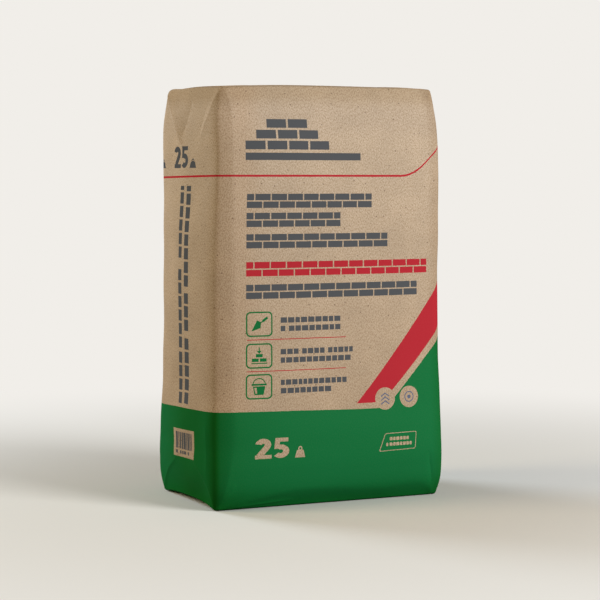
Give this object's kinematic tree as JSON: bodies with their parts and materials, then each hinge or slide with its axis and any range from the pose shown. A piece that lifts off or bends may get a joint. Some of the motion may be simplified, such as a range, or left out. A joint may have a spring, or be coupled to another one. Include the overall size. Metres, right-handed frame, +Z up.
{
  "type": "cement bag",
  "caption": "Filled block-bottom paper valve sack of cement, standing on its flat pasted end, with a cover patch on each end.",
  "frame": {"origin": "centre of the base, on the floor", "axes": "+Z up the standing sack; -Y out of the front panel; +X towards the end with the valve"},
  "size_m": [0.2844, 0.185, 0.44],
  "materials": {
    "sack_paper": "matt natural kraft paper, printed green, red and grey",
    "cover_paper": "matt natural kraft paper",
    "sleeve_paper": "matt light kraft paper"
  },
  "bodies": {
    "root": {"sack": "sack_paper", "top_cover": "cover_paper", "bottom_cover": "cover_paper", "valve_sleeve": "sleeve_paper"}
  },
  "joints": []
}
